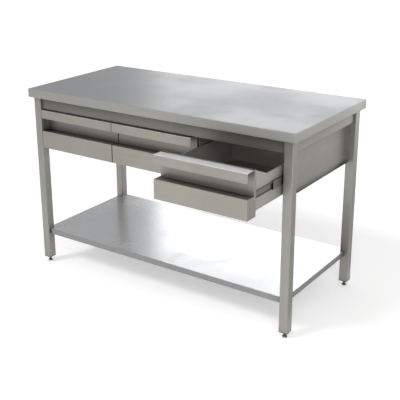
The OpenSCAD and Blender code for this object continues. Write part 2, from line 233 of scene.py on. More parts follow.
def left_of(d):
    """The direction a quarter turn to the left of d."""
    return Vector((-d.y, d.x))


def turned(d, angle):
    """The 2-D direction d, turned by angle."""
    c, s = math.cos(angle), math.sin(angle)
    return Vector((c * d.x - s * d.y, s * d.x + c * d.y))


def corner_samples(before, point, after, radius):
    """Points and directions round one bend of a path."""
    d1, d2 = (point - before).normalized(), (after - point).normalized()
    turn = math.atan2(d1.x * d2.y - d1.y * d2.x, d1.dot(d2))
    if abs(turn) < 1e-4:
        return [(point, d1)]
    side = math.copysign(1.0, turn)
    start = point - d1 * (radius * math.tan(abs(turn) / 2))
    centre = start + side * radius * left_of(d1)
    out = []
    for k in range(BEND_STEPS + 1):
        d = turned(d1, turn * k / BEND_STEPS)
        out.append((centre - side * radius * left_of(d), d))
    return out


def folded_path(path, radius):
    """Points and directions along an open path with its bends rounded."""
    path = [Vector(p) for p in path]
    out = [(path[0], (path[1] - path[0]).normalized())]
    for i in range(1, len(path) - 1):
        out += corner_samples(path[i - 1], path[i], path[i + 1], radius)
    out.append((path[-1], (path[-1] - path[-2]).normalized()))
    return out


def rounded_outline(points, radii):
    """A closed outline with each corner rounded by its own radius."""
    points = [Vector(p) for p in points]
    n = len(points)
    out = []
    for i in range(n):
        samples = corner_samples(points[i - 1], points[i], points[(i + 1) % n], radii[i])
        if len(samples) == 1:
            samples *= BEND_STEPS + 1
        out += [p for p, _ in samples]
    return out


def add_strip(bm, path, wall, radius, span, place):
    """Adds a sheet folded along path and drawn out over span.

    place turns (across, up, along) into a point.
    """
    rows = []
    for p, d in folded_path(path, radius):
        a, b = span(p) if callable(span) else span
        n = left_of(d) * wall / 2
        rows.append([bm.verts.new(place(q.x, q.y, w)) for q in (p + n, p - n) for w in (a, b)])
    for (l0, l1, r0, r1), (m0, m1, s0, s1) in zip(rows, rows[1:]):
        bm.faces.new((l0, m0, m1, l1))
        bm.faces.new((r0, r1, s1, s0))
        bm.faces.new((l0, r0, s0, m0))
        bm.faces.new((l1, m1, s1, r1))
    for l0, l1, r0, r1 in (rows[0], rows[-1]):
        bm.faces.new((l0, l1, r1, r0))


def rectangle(low, high):
    """The corners of a rectangle between its lowest and its highest corner."""
    return [(low[0], low[1]), (high[0], low[1]), (high[0], high[1]), (low[0], high[1])]


def add_plate(bm, outline, low, high, place):
    """Adds a flat plate with a closed outline, from low to high."""
    ends = [[bm.verts.new(place(p[0], p[1], w)) for p in outline] for w in (low, high)]
    for ring in ends:
        bm.faces.new(ring)
    n = len(outline)
    for i in range(n):
        j = (i + 1) % n
        bm.faces.new((ends[0][i], ends[0][j], ends[1][j], ends[1][i]))


def join_rings(bm, rings, closed):
    """Skins rings of equally many points, and caps both ends or closes the loop."""
    rings = [[bm.verts.new(p) for p in ring] for ring in rings]
    n = len(rings[0])
    pairs = list(zip(rings, rings[1:] + rings[:1])) if closed else list(zip(rings, rings[1:]))
    for a, b in pairs:
        for i in range(n):
            j = (i + 1) % n
            bm.faces.new((a[i], a[j], b[j], b[i]))
    if not closed:
        bm.faces.new(rings[0])
        bm.faces.new(rings[-1])


def outline_rings(outline, steps, corner):
    """Rings round an upright-sided outline. steps are (inset, height) pairs."""
    points = [Vector(p) for p in outline]
    n = len(points)
    rings = []
    for inset, z in steps:
        moved, radii = [], []
        for i in range(n):
            d1 = (points[i] - points[i - 1]).normalized()
            d2 = (points[(i + 1) % n] - points[i]).normalized()
            outer = d1.x * d2.y - d1.y * d2.x > 0
            moved.append(points[i] + inset * (left_of(d1) + left_of(d2)))
            radii.append(max(corner - inset, LEAST_CORNER) if outer else NOTCH_CORNER)
        rings.append([(p.x, p.y, z) for p in rounded_outline(moved, radii)])
    return rings


def quarter(centre, radius, start, end):
    """Points on an arc from start to end, in degrees, round centre."""
    out = []
    for k in range(BEND_STEPS + 1):
        a = math.radians(start + (end - start) * k / BEND_STEPS)
        out.append((centre[0] + radius * math.cos(a), centre[1] + radius * math.sin(a)))
    return out


def pan_steps(low, high, wall, bend, flange):
    """(inset, height) steps over and back under a pan with a folded edge and a flange under it."""
    inner = bend - wall
    steps = quarter((bend, high - bend), bend, 90, 180)
    steps += quarter((bend, low + bend), bend, 180, 270)
    steps += [(flange, low), (flange, low + wall)]
    steps += quarter((bend, low + bend), inner, 270, 180)
    steps += quarter((bend, high - bend), inner, 180, 90)
    return steps


def circle(radius, z, sides=ROUND_SIDES):
    """A ring of points round the Z axis."""
    angles = [2 * math.pi * k / sides for k in range(sides)]
    return [(radius * math.cos(a), radius * math.sin(a), z) for a in angles]


def add_turned(bm, profile, axis_point, along, sides=ROUND_SIDES):
    """Adds a turned shape. profile is (radius, distance) pairs from pole to pole, along an axis."""
    turn = Vector((0, 0, 1)).rotation_difference(Vector(along)).to_matrix()
    rings = []
    for r, h in profile:
        ring = circle(r, h, sides)[: 1 if r < 1e-7 else sides]
        rings.append([bm.verts.new(Vector(axis_point) + turn @ Vector(p)) for p in ring])
    for a, b in zip(rings, rings[1:]):
        for k in range(sides):
            j = (k + 1) % sides
            if len(a) == 1:
                bm.faces.new((a[0], b[k], b[j]))
            elif len(b) == 1:
                bm.faces.new((a[k], b[0], a[j]))
            else:
                bm.faces.new((a[k], b[k], b[j], a[j]))


def as_object(name, bm, material, edge=0.0, smooth=SMOOTH_ANGLE):
    """Turns a mesh into an object with closed seams, faces that point outwards and rounded cut edges."""
    bmesh.ops.remove_doubles(bm, verts=bm.verts, dist=2e-6)
    bmesh.ops.dissolve_degenerate(bm, edges=bm.edges, dist=1e-6)
    bmesh.ops.recalc_face_normals(bm, faces=bm.faces)
    mesh = bpy.data.meshes.new(name)
    bm.to_mesh(mesh)
    bm.free()
    obj = bpy.data.objects.new(name, mesh)
    bpy.context.scene.collection.objects.link(obj)
    if edge > 0:
        bevel = obj.modifiers.new("Cut edges", "BEVEL")
        bevel.width = edge
        bevel.segments = 2
        bevel.limit_method = "ANGLE"
        bevel.angle_limit = math.radians(smooth)
        bake_modifiers(obj)
    obj.data.materials.clear()
    obj.data.materials.append(material)
    obj.data.shade_smooth()
    obj.data.set_sharp_from_angle(angle=math.radians(smooth))
    even = obj.modifiers.new("Flat faces", "WEIGHTED_NORMAL")
    even.keep_sharp = True
    return obj


def bake_modifiers(obj):
    """Replaces an object's mesh with what its modifiers make, and removes them."""
    bpy.context.view_layer.update()
    depsgraph = bpy.context.evaluated_depsgraph_get()
    mesh = bpy.data.meshes.new_from_object(obj.evaluated_get(depsgraph), depsgraph=depsgraph)
    obj.modifiers.clear()
    old = obj.data
    obj.data = mesh
    mesh.name = obj.name
    bpy.data.meshes.remove(old)


def hand_over(obj, body, slot, *nodes):
    """Puts a finished piece on its body, in place of its nodes; slot is not used."""
    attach(obj, body)
    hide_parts(*nodes)


def finish(node, material):
    """Gives a node that keeps its own shape its material."""
    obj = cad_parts[node]
    obj.data.materials.clear()
    obj.data.materials.append(material)


# Which way a drawn profile lies: (across, up, along) to a point
def along_x(u, v, w):
    return (w, u, v)


def along_y(u, v, w):
    return (u, w, v)


def along_z(u, v, w):
    return (u, v, w)


def mirrored(place, middle=0.0):
    """The same placing, mirrored left to right."""

    def mirror(u, v, w):
        x, y, z = place(u, v, w)
        return (2 * middle - x, y, z)

    return mirror


# ---- Node trees ----


def wire(tree, sockets, values):
    """Links each named socket to another socket, or sets it to a value."""
    for key, value in values.items():
        if isinstance(value, bpy.types.NodeSocket):
            tree.links.new(value, sockets[key])
        else:
            sockets[key].default_value = value


def add_node(tree, kind, inputs=None, **fields):
    """A new node with its own fields set and its inputs wired."""
    node = tree.nodes.new(kind)
    for field, value in fields.items():
        setattr(node, field, value)
    wire(tree, node.inputs, inputs or {})
    return node


def new_tree(kind, name, inputs, outputs):
    """A node tree with its sockets, and the sockets of its input and output nodes."""
    tree = bpy.data.node_groups.new(name, kind)
    for label, socket_kind, default in inputs:
        socket = tree.interface.new_socket(name=label, in_out="INPUT", socket_type=f"NodeSocket{socket_kind}")
        if default is not None:
            socket.default_value = default
    for label, socket_kind in outputs:
        tree.interface.new_socket(name=label, in_out="OUTPUT", socket_type=f"NodeSocket{socket_kind}")
    return tree, tree.nodes.new("NodeGroupInput").outputs, tree.nodes.new("NodeGroupOutput").inputs


def maths(tree, operation, a, b, clamp=False):
    """The result of a maths node; a and b are sockets or numbers."""
    return add_node(tree, "ShaderNodeMath", {0: a, 1: b}, operation=operation, use_clamp=clamp).outputs[0]


def times(tree, a, b, clamp=False):
    """The product of a and b."""
    return maths(tree, "MULTIPLY", a, b, clamp)


def total(tree, first, *others):
    """The sum of sockets or numbers."""
    for other in others:
        first = maths(tree, "ADD", first, other)
    return first


def less(tree, amount):
    """What amount leaves of 1."""
    return maths(tree, "SUBTRACT", 1.0, amount, True)


def noise(tree, vector, scale, detail=2.0, rough=0.5, distortion=0.0):
    """The value of a noise texture."""
    values = {"Vector": vector, "Scale": scale, "Detail": detail, "Roughness": rough}
    return add_node(tree, "ShaderNodeTexNoise", values | {"Distortion": distortion}).outputs["Fac"]


def scaled(tree, vector, scale):
    """A vector times another."""
    return add_node(tree, "ShaderNodeVectorMath", {0: vector, 1: scale}, operation="MULTIPLY").outputs[0]


def stretched(tree, value, low, high, kind="LINEAR"):
    """A value drawn out so that low becomes 0 and high becomes 1."""
    values = {"Value": value, "From Min": low, "From Max": high}
    return add_node(tree, "ShaderNodeMapRange", values, interpolation_type=kind).outputs["Result"]


def upward_part(tree, vector):
    """The Z of a vector."""
    return add_node(tree, "ShaderNodeSeparateXYZ", {0: vector}).outputs["Z"]


def between(tree, amount, a, b):
    """A colour between a and b."""
    return add_node(tree, "ShaderNodeMix", {0: amount, 6: a, 7: b}, data_type="RGBA").outputs[2]


def relief(tree, height, strength, distance):
    """The normal of a surface with a fine relief."""
    values = {"Height": height, "Strength": strength, "Distance": distance}
    return add_node(tree, "ShaderNodeBump", values).outputs["Normal"]


# ---- Shader node groups ----


def brushed_grain_group():
    """Streaks of a belt-ground sheet: broad bands, single strokes and a fine bite."""
    group, inp, out = new_tree(
        "ShaderNodeTree",
        "Brushed grain",
        [("Vector", "Vector", None), ("Grain", "Vector", (1.0, 1.0, 1.0))],
        [("Bands", "Float"), ("Strokes", "Float"), ("Bite", "Float")],
    )
    drawn_out = scaled(group, inp["Vector"], inp["Grain"])
    streaks = {
        "Bands": noise(group, drawn_out, 2.2, 2.0, 0.55),
        "Strokes": noise(group, drawn_out, 16.0, 3.0, 0.65),
        "Bite": noise(group, drawn_out, 90.0, 2.0, 0.6),
    }
    wire(group, out, streaks)
    return group


def handling_group():
    """Wipe marks and dull patches that hands and cloths leave."""
    group, inp, out = new_tree(
        "ShaderNodeTree",
        "Handling marks",
        [("Vector", "Vector", None), ("Size", "Vector", (1.0, 1.0, 1.0))],
        [("Patches", "Float"), ("Wipes", "Float")],
    )
    vector = scaled(group, inp["Vector"], inp["Size"])
    marks = {
        "Patches": stretched(group, noise(group, vector, 3.1, 3.0), 0.38, 0.66, "SMOOTHSTEP"),
        "Wipes": stretched(group, noise(group, vector, 7.0, distortion=1.4), 0.55, 0.75),
    }
    wire(group, out, marks)
    return group


def edge_group():
    """Mask of folded and cut edges, which handling polishes, and which the Steel look brightens as a painted
    highlight.
    """
    group, inp, out = new_tree(
        "ShaderNodeTree", "Polished edges", [("Radius", "Float", 0.0015)], [("Edge", "Float")]
    )
    bevel = add_node(group, "ShaderNodeBevel", {"Radius": inp["Radius"]}, samples=4)
    normals = {0: bevel.outputs["Normal"], 1: add_node(group, "ShaderNodeNewGeometry").outputs["Normal"]}
    dot = add_node(group, "ShaderNodeVectorMath", normals, operation="DOT_PRODUCT")
    away = maths(group, "SUBTRACT", 1.0, dot.outputs["Value"])
    wire(group, out, {"Edge": times(group, away, 5.0, True)})
    return group


def shaded_folds_group():
    """Mask of folds, gaps and recesses: 1 in the open, towards 0 deep inside. The Steel look darkens colour
    by it as painted shade.
    """
    group, inp, out = new_tree(
        "ShaderNodeTree",
        "Shaded folds",
        [("Reach", "Float", 0.06), ("Steepness", "Float", 1.5)],
        [("Open", "Float")],
    )
    around = add_node(group, "ShaderNodeAmbientOcclusion", {"Distance": inp["Reach"]}, samples=6)
    wire(group, out, {"Open": maths(group, "POWER", around.outputs["AO"], inp["Steepness"])})
    return group


def lying_faces_group():
    """Masks of the faces that look up: those above a height, which take a painted sheen in their colour and
    more metallic gloss where cloths polish them, and those below it.
    """
    group, inp, out = new_tree(
        "ShaderNodeTree",
        "Lying faces",
        [("Vector", "Vector", None), ("Height", "Float", 0.0)],
        [("Polished", "Float"), ("Sunken", "Float")],
    )
    normal = add_node(group, "ShaderNodeNewGeometry").outputs["Normal"]
    upward = maths(group, "MAXIMUM", upward_part(group, normal), 0.0)
    lying = times(group, upward, upward)
    above = maths(group, "GREATER_THAN", upward_part(group, inp["Vector"]), inp["Height"])
    below = less(group, above)
    wire(group, out, {"Polished": times(group, lying, above), "Sunken": times(group, lying, below)})
    return group


def steel_look_group():
    """Turns grain, marks, edges and folds into the colour, gloss and relief of a steel finish. The folds give
    painted shade, lying faces a painted sheen and edges a painted highlight.
    """
    grey = (0.5, 0.5, 0.5, 1.0)
    numbers = {"Satin": 0.4, "Contrast": 1.0, "Metallic": 0.6, "Shading": 0.8}
    numbers |= {"Open": 1.0, "Polished": 0.0, "Sunken": 0.0, "Wipes": 0.0, "Edge": 0.0}
    numbers |= {"Bands": 0.5, "Strokes": 0.5, "Bite": 0.5, "Patches": 0.5}
    group, inp, out = new_tree(
        "ShaderNodeTree",
        "Steel look",
        [(label, "Color", grey) for label in ("Colour", "Lying colour")]
        + [(label, "Float", default) for label, default in numbers.items()],
        [("Colour", "Color"), ("Metallic", "Float"), ("Roughness", "Float"), ("Height", "Float")],
    )

    def swing(label, amount):
        return times(group, maths(group, "SUBTRACT", inp[label], 0.5), amount)

    def share(label, amount):
        return times(group, inp[label], amount)

    grain = total(group, swing("Bands", 0.13), swing("Strokes", 0.16), swing("Bite", 0.08))
    grain = total(group, grain, swing("Patches", -0.05))
    # Edges get a brighter colour, a painted highlight, and lower roughness from polish.
    tone = total(group, times(group, grain, inp["Contrast"]), share("Edge", 0.22), 1.0)
    # Painted shade: the colour darkens in folds, gaps and recesses by Shading, but not on lying faces that
    # take the sheen.
    hidden = less(group, inp["Open"])
    shadow = times(group, times(group, hidden, inp["Shading"]), less(group, inp["Polished"]))
    # Painted shade on lying faces below the height, such as the floor of a drawer front's recess, darker
    # deeper inside.
    sunken_shade = times(group, inp["Sunken"], times(group, hidden, 1.7, True))
    tone = times(group, times(group, tone, less(group, shadow)), less(group, sunken_shade))
    # Lying faces above the height take the sheen colour: painted sheen.
    ground = between(group, inp["Polished"], inp["Colour"], inp["Lying colour"])
    colour = add_node(group, "ShaderNodeVectorMath", {0: ground, "Scale": tone}, operation="SCALE")
    rough = total(group, inp["Satin"], swing("Strokes", 0.16), swing("Patches", 0.08), share("Wipes", 0.05))
    results = {
        "Colour": colour.outputs["Vector"],
        "Metallic": maths(group, "ADD", inp["Metallic"], share("Polished", 0.35), True),
        "Roughness": maths(group, "SUBTRACT", rough, share("Edge", 0.08), True),
        "Height": total(group, inp["Strokes"], share("Bite", 0.5)),
    }
    wire(group, out, results)
    return group


GROUP_MAKERS = {
    "Brushed grain": brushed_grain_group,
    "Handling marks": handling_group,
    "Polished edges": edge_group,
    "Shaded folds": shaded_folds_group,
    "Lying faces": lying_faces_group,
    "Steel look": steel_look_group,
}


def place_group(tree, name, inputs=None):
    """Places a shader node group, and builds it the first time."""
    group = bpy.data.node_groups.get(name) or GROUP_MAKERS[name]()
    return add_node(tree, "ShaderNodeGroup", inputs, node_tree=group)


# ---- Materials ----


def new_material(name):
    """A node material, its tree, its Principled shader's inputs, and the place on the object."""
    paint = bpy.data.materials.new(name)
    paint.use_nodes = True
    tree = paint.node_tree
    place = add_node(tree, "ShaderNodeTexCoord").outputs["Object"]
    return paint, tree, tree.nodes["Principled BSDF"].inputs, place


def opaque(colour, factor=1.0, lift=0.0):
    """A colour with full cover, made paler or darker."""
    return (*[min(1.0, c * factor + lift) for c in colour], 1.0)


def steel(
    name, colour, satin, grain, lying=None, metallic=0.6, contrast=1.0, edge=0.0015, shading=0.8, height=0.0
):
    """A brushed steel material. grain stretches the strokes along the axis with the smallest number.

    Faces that lie above height take the colour lying as a painted sheen, and those below it are darkened as
    painted shade where they lie deep in a recess. shading sets how much painted shade darkens folds and
    recesses.
    """
    paint, tree, shader, place = new_material(name)
    sources = (
        place_group(tree, "Brushed grain", {"Vector": place, "Grain": grain}),
        place_group(tree, "Handling marks", {"Vector": place}),
        place_group(tree, "Polished edges", {"Radius": edge}),
        place_group(tree, "Shaded folds"),
        place_group(tree, "Lying faces", {"Vector": place, "Height": height}),
    )
    values = {socket.name: socket for source in sources for socket in source.outputs}
    values |= {"Colour": opaque(colour), "Lying colour": opaque(lying or colour), "Satin": satin}
    values |= {"Contrast": contrast, "Shading": shading, "Metallic": metallic}
    look = place_group(tree, "Steel look", values).outputs
    results = {
        "Base Color": look["Colour"],
        "Metallic": look["Metallic"] if metallic < 1.0 else metallic,
        "Roughness": look["Roughness"],
        "Normal": relief(tree, look["Height"], 0.06, 0.0004),
    }
    wire(tree, shader, results)
    return paint


def moulded(name, colour, roughness, pebble):
    """Moulded rubber or nylon: a pebbled skin with paler scuffs."""
    paint, tree, shader, place = new_material(name)
    skin = noise(tree, place, pebble, 3.0, 0.6)
    scuffs = place_group(tree, "Handling marks", {"Vector": place, "Size": (9.0, 9.0, 9.0)})
    worn = times(tree, scuffs.outputs["Wipes"], 0.6)
    results = {
        "Base Color": between(tree, worn, opaque(colour), opaque(colour, 1.6, 0.02)),
        "Roughness": total(tree, times(tree, skin, 0.2), roughness - 0.1),
        "Normal": relief(tree, skin, 0.25, 0.0003),
    }
    wire(tree, shader, results)
    return paint


def chip_board(name):
    """Raw particle board: pale and dark chips pressed together."""
    paint, tree, shader, place = new_material(name)
    flat = scaled(tree, place, (0.5, 1.0, 1.6))
    chips = add_node(tree, "ShaderNodeTexVoronoi", {"Vector": flat, "Scale": 260.0})
    cell = add_node(tree, "ShaderNodeSeparateColor", {"Color": chips.outputs["Color"]})
    ramp = add_node(tree, "ShaderNodeValToRGB", {"Fac": cell.outputs["Red"]})
    ramp.color_ramp.elements[0].color = (0.16, 0.10, 0.055, 1.0)
    ramp.color_ramp.elements[1].color = (0.42, 0.30, 0.17, 1.0)
    results = {
        "Base Color": ramp.outputs["Color"],
        "Roughness": 0.85,
        "Normal": relief(tree, chips.outputs["Distance"], 0.4, 0.0005),
    }
    wire(tree, shader, results)
    return paint


def glowing(name, colour, glow, roughness=0.5):
    """A surface of the stage that gives off light and has no gloss, with a barely seen roller texture."""
    paint, tree, shader, place = new_material(name)
    results = {
        "Base Color": between(tree, noise(tree, place, 3.0), opaque(colour, 0.995), opaque(colour)),
        "Roughness": roughness,
        "Specular IOR Level": 0.0,
        "Emission Color": (1.0, 1.0, 1.0, 1.0),
        "Emission Strength": glow,
    }
    wire(tree, shader, results)
    return paint


# ---- Geometry node trees ----


def new_geometry_tree(name, inputs):
    """A geometry node tree that takes points or a mesh, its own inputs, and a material."""
    sockets = [("Geometry", "Geometry", None), *inputs, ("Material", "Material", None)]
    tree, inp, out = new_tree("GeometryNodeTree", name, sockets, [("Geometry", "Geometry")])
    tree.is_modifier = True
    return tree, inp, out


def close_tree(tree, geometry, inp, out):
    """Ends a tree: real copies, then the material."""
    real = add_node(tree, "GeometryNodeRealizeInstances", {"Geometry": geometry})
    painted = {"Geometry": real.outputs["Geometry"], "Material": inp["Material"]}
    wire(tree, out, {"Geometry": add_node(tree, "GeometryNodeSetMaterial", painted).outputs["Geometry"]})
    return tree


def copies(tree, points, item, **inputs):
    """An item set on every point."""
    values = {"Points": points, "Instance": item, **inputs}
    return add_node(tree, "GeometryNodeInstanceOnPoints", values).outputs["Instances"]


def moved(tree, geometry, place):
    """A geometry moved to a place."""
    values = {"Geometry": geometry, "Translation": place}
    return add_node(tree, "GeometryNodeTransform", values).outputs["Geometry"]


def joined(tree, *geometries):
    """Several geometries as one."""
    join = tree.nodes.new("GeometryNodeJoinGeometry")
    for geometry in geometries:
        tree.links.new(geometry, join.inputs["Geometry"])
    return join.outputs["Geometry"]


def fastener_tree():
    """Sets one fastener on every point, along the point's own direction, each turned by a fixed chance."""
    tree, inp, out = new_geometry_tree(
        "Fasteners on seats",
        [("Fastener", "Object", None), ("Most turn", "Float", 1.0), ("Seed", "Int", 7)],
    )
    aim = add_node(tree, "GeometryNodeInputNamedAttribute", {"Name": "aim"}, data_type="FLOAT_VECTOR")
    direction = {"Vector": aim.outputs["Attribute"]}
    align = add_node(tree, "FunctionNodeAlignRotationToVector", direction, axis="Z")
    limits = {3: inp["Most turn"], "Seed": inp["Seed"]}
    chance = add_node(tree, "FunctionNodeRandomValue", limits, data_type="FLOAT")
    about = {"Axis": (0.0, 0.0, 1.0), "Angle": chance.outputs[1]}
    spin = add_node(tree, "FunctionNodeAxisAngleToRotation", about)
    both = {"Rotation": align.outputs["Rotation"], "Rotate By": spin.outputs["Rotation"]}
    rotation = add_node(tree, "FunctionNodeRotateRotation", both, rotation_space="LOCAL").outputs["Rotation"]
    item = add_node(tree, "GeometryNodeObjectInfo", {"Object": inp["Fastener"]}).outputs["Geometry"]
    return close_tree(tree, copies(tree, inp["Geometry"], item, Rotation=rotation), inp, out)


def ball_row_tree():
    """A cage strip with its row of balls, set on every point."""
    tree, inp, out = new_geometry_tree(
        "Ball cages",
        [
            ("Balls", "Int", 6),
            ("Ball radius", "Float", 0.0013),
            ("First ball", "Vector", (0.0, 0.01, 0.0)),
            ("Ball step", "Vector", (0.0, 0.04, 0.0)),
            ("Strip size", "Vector", (0.004, 0.22, 0.0008)),
            ("Strip middle", "Vector", (0.0, 0.11, 0.0)),
        ],
    )
    steps = {"Count": inp["Balls"], "Start Location": inp["First ball"], "Offset": inp["Ball step"]}
    line = add_node(tree, "GeometryNodeMeshLine", steps)
    shape = {"Segments": 12, "Rings": 7, "Radius": inp["Ball radius"]}
    ball = add_node(tree, "GeometryNodeMeshUVSphere", shape)
    smooth = add_node(tree, "GeometryNodeSetShadeSmooth", {"Geometry": ball.outputs["Mesh"]})
    balls = copies(tree, line.outputs["Mesh"], smooth.outputs["Geometry"])
    strip = add_node(tree, "GeometryNodeMeshCube", {"Size": inp["Strip size"]})
    row = joined(tree, balls, moved(tree, strip.outputs["Mesh"], inp["Strip middle"]))
    return close_tree(tree, copies(tree, inp["Geometry"], row), inp, out)


def thread_tree():
    """Winds a screw thread round the spindle of a turned foot."""
    tree, inp, out = new_geometry_tree(
        "Spindle thread",
        [
            ("Foot", "Vector", (0.0, 0.0, 0.0)),
            ("Turns", "Float", 20.0),
            ("Thread length", "Float", 0.05),
            ("Thread radius", "Float", 0.0053),
            ("Ridge", "Float", 0.0007),
        ],
    )
    shape = {"Resolution": 18, "Rotations": inp["Turns"], "Height": inp["Thread length"]}
    shape |= {"Start Radius": inp["Thread radius"], "End Radius": inp["Thread radius"]}
    helix = add_node(tree, "GeometryNodeCurveSpiral", shape)
    ridge = add_node(tree, "GeometryNodeCurvePrimitiveCircle", {"Resolution": 4, "Radius": inp["Ridge"]})
    sweep = {"Curve": helix.outputs["Curve"], "Profile Curve": ridge.outputs["Curve"], "Fill Caps": True}
    wound = add_node(tree, "GeometryNodeCurveToMesh", sweep)
    thread = moved(tree, wound.outputs["Mesh"], inp["Foot"])
    return close_tree(tree, joined(tree, inp["Geometry"], thread), inp, out)


TREE_MAKERS = {
    "Fasteners on seats": fastener_tree,
    "Ball cages": ball_row_tree,
    "Spindle thread": thread_tree,
}


def grow(obj, tree_name, values):
    """Runs a geometry node tree on an object and keeps the result as its plain mesh."""
    tree = bpy.data.node_groups.get(tree_name) or TREE_MAKERS[tree_name]()
    modifier = obj.modifiers.new(tree_name, "NODES")
    modifier.node_group = tree
    for item in tree.interface.items_tree:
        if item.item_type == "SOCKET" and item.in_out == "INPUT" and item.name in values:
            modifier[item.identifier] = values[item.name]
    bake_modifiers(obj)
    if not obj.data.polygons:
        raise RuntimeError(f"{obj.name}: the tree {tree_name} made nothing")
    obj.data.set_sharp_from_angle(angle=math.radians(SMOOTH_ANGLE))
    return obj


def points_object(name, points, aims=None):
    """An object of loose points, each with the direction it aims in."""
    mesh = bpy.data.meshes.new(name)
    mesh.from_pydata([tuple(p) for p in points], [], [])
    if aims:
        attribute = mesh.attributes.new("aim", "FLOAT_VECTOR", "POINT")
        for item, aim in zip(attribute.data, aims):
            item.vector = aim
    obj = bpy.data.objects.new(name, mesh)
    bpy.context.scene.collection.objects.link(obj)
    return obj


def seats_of(node, head_high):
    """Where each fastener of a node sits, which way its head looks, and how far its shank reaches."""
    bm = bmesh.new()
    bm.from_mesh(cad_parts[node].data)
    bmesh.ops.remove_doubles(bm, verts=bm.verts, dist=1e-6)
    seats, aims, reach = [], [], 0.0
    todo = set(bm.verts)
    while todo:
        group, stack = set(), [next(iter(todo))]
        while stack:
            v = stack.pop()
            if v in group:
                continue
            group.add(v)
            stack += [e.other_vert(v) for e in v.link_edges]
        todo -= group
        points = [v.co.copy() for v in group]
        lo = Vector([min(p[i] for p in points) for i in range(3)])
        hi = Vector([max(p[i] for p in points) for i in range(3)])
        axis = max(range(3), key=lambda i: hi[i] - lo[i])
        others = [i for i in range(3) if i != axis]
        middle = (lo + hi) / 2
        half = middle[axis]
        wide = [0.0, 0.0]
        for p in points:
            r = max(abs(p[i] - middle[i]) for i in others)
            wide[p[axis] > half] = max(wide[p[axis] > half], r)
        up = wide[1] > wide[0]
        aim = Vector((0, 0, 0))
        aim[axis] = 1.0 if up else -1.0
        seat = middle.copy()
        seat[axis] = hi[axis] - head_high if up else lo[axis] + head_high
        seats.append(seat)
        aims.append(aim)
        reach = hi[axis] - lo[axis] - head_high
    bm.free()
    order = sorted(range(len(seats)), key=lambda i: tuple(round(c, 4) for c in seats[i]))
    return [seats[i] for i in order], [aims[i] for i in order], reach


# ---- Pieces ----


def settings(context):
    """The table's settings."""
    return context.scene.work_table


def material(name):
    """A finished material by name."""
    return bpy.data.materials[name]


class WORKTABLE_OT_finishes(bpy.types.Operator):
    """Make the steel, board, nylon and rubber finishes."""

    bl_idname = "worktable.finishes"
    bl_label = "Finishes"

    def execute(self, context):
        f = settings(context).finish
        satin = f.roughness
        along, across, upright = (0.9, 60.0, 60.0), (60.0, 0.9, 60.0), (60.0, 60.0, 0.9)
        top = {"metallic": 0.45, "contrast": 0.5, "shading": 0.3}
        # The lying colours give painted sheen on the tops of the worktop, shelf and drawer fronts; shading
        # sets painted shade in folds and recesses.
        steel("worktop_steel", f.worktop_edge, satin + 0.03, along, f.worktop, **top)
        steel("casing_steel", f.sheet, satin, across, shading=0.35)
        # The front and rear rails' darker colour is painted shade under the worktop's overhang.
        steel("rail_steel", f.rail, satin + 0.04, along)
        steel("side_rail_steel", f.sheet, satin, across)
        steel("leg_steel", f.tube, satin, upright, shading=0.4)
        steel("shelf_steel", f.shelf_edge, satin - 0.15, along, f.shelf, metallic=0.55, contrast=0.4)
        # Drawer-front faces lying above this height take a painted highlight; those below it, the recess
        # floors, take painted shade.
        lip_top = BOX["drawer_1_front"][1].z
        steel("front_steel", f.front, satin, along, f.front_top_highlight, shading=0.72, height=lip_top - 0.02)
        steel("tray_steel", f.tray, satin, across, metallic=0.4, shading=0.0)
        steel("zinc_strip", f.zinc, satin - 0.08, across, metallic=0.8, contrast=0.7)
        steel("zinc_channel", f.zinc, satin, across, metallic=0.8)
        steel("turned_steel", f.turned, satin - 0.06, (30.0, 30.0, 220.0), metallic=0.8, edge=0.0006)
        steel("fastener_steel", f.turned, satin - 0.06, (90.0, 90.0, 90.0), metallic=0.85, edge=0.0004)
        ball = {"metallic": 1.0, "contrast": 0.3, "edge": 0.0003}
        steel("ball_steel", (0.62, 0.62, 0.62), 0.14, (40.0, 40.0, 40.0), **ball)
        moulded("plug_nylon", (0.045, 0.045, 0.045), 0.5, 900.0)
        moulded("buffer_rubber", (0.02, 0.02, 0.02), 0.8, 1400.0)
        chip_board("chip_board")
        return {"FINISHED"}


class WORKTABLE_OT_worktop(bpy.types.Operator):
    """Fold the worktop sheet, with the board and stiffening channels under it."""

    bl_idname = "worktable.worktop"
    bl_label = "Worktop"

    def execute(self, context):
        s = settings(context).sheet
        lo, hi = BOX["worktop_skin"]
        bm = bmesh.new()
        steps = pan_steps(lo.z, hi.z, s.sheet, s.top_bend, s.top_return)
        join_rings(bm, outline_rings(rectangle(lo, hi), steps, s.top_corner), closed=False)
        obj = as_object("worktop_sheet", bm, material("worktop_steel"), s.edge)
        hand_over(obj, "table", "stainless_worktop", "worktop_skin")
        finish("worktop_board", material("chip_board"))
        self.fold_channels("worktop_channels", "worktop_stiffeners", s)
        self.fold_channels("shelf_channels", "shelf_stiffeners", s)
        return {"FINISHED"}

    @staticmethod
    def fold_channels(name, node, s):
        """Folds a node's hat channels, each a crown between two brims."""
        lo, hi = BOX[node]
        t = s.sheet
        crown, brim = s.hat_width / 2 - t / 2, s.hat_width / 2 - t + s.hat_brim
        low, high = lo.z + t / 2, hi.z - t / 2
        bm = bmesh.new()
        for x in channel_middles(node, s.hat_width):
            path = [(x - brim, high), (x - crown, high), (x - crown, low)]
            path += [(x + crown, low), (x + crown, high), (x + brim, high)]
            add_strip(bm, path, t, s.bend, (lo.y, hi.y), along_y)
        obj = as_object(name, bm, material("zinc_channel"))
        hand_over(obj, "table", "zinc_plated_steel", node)


def channel_middles(node, width):
    """The middles of a node's channels, from the corners that lie a crown's width apart."""
    xs = sorted({round(v.co.x, 4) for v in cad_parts[node].data.vertices})
    return [x + width / 2 for x in xs if any(abs(x + width - other) < 5e-5 for other in xs)]


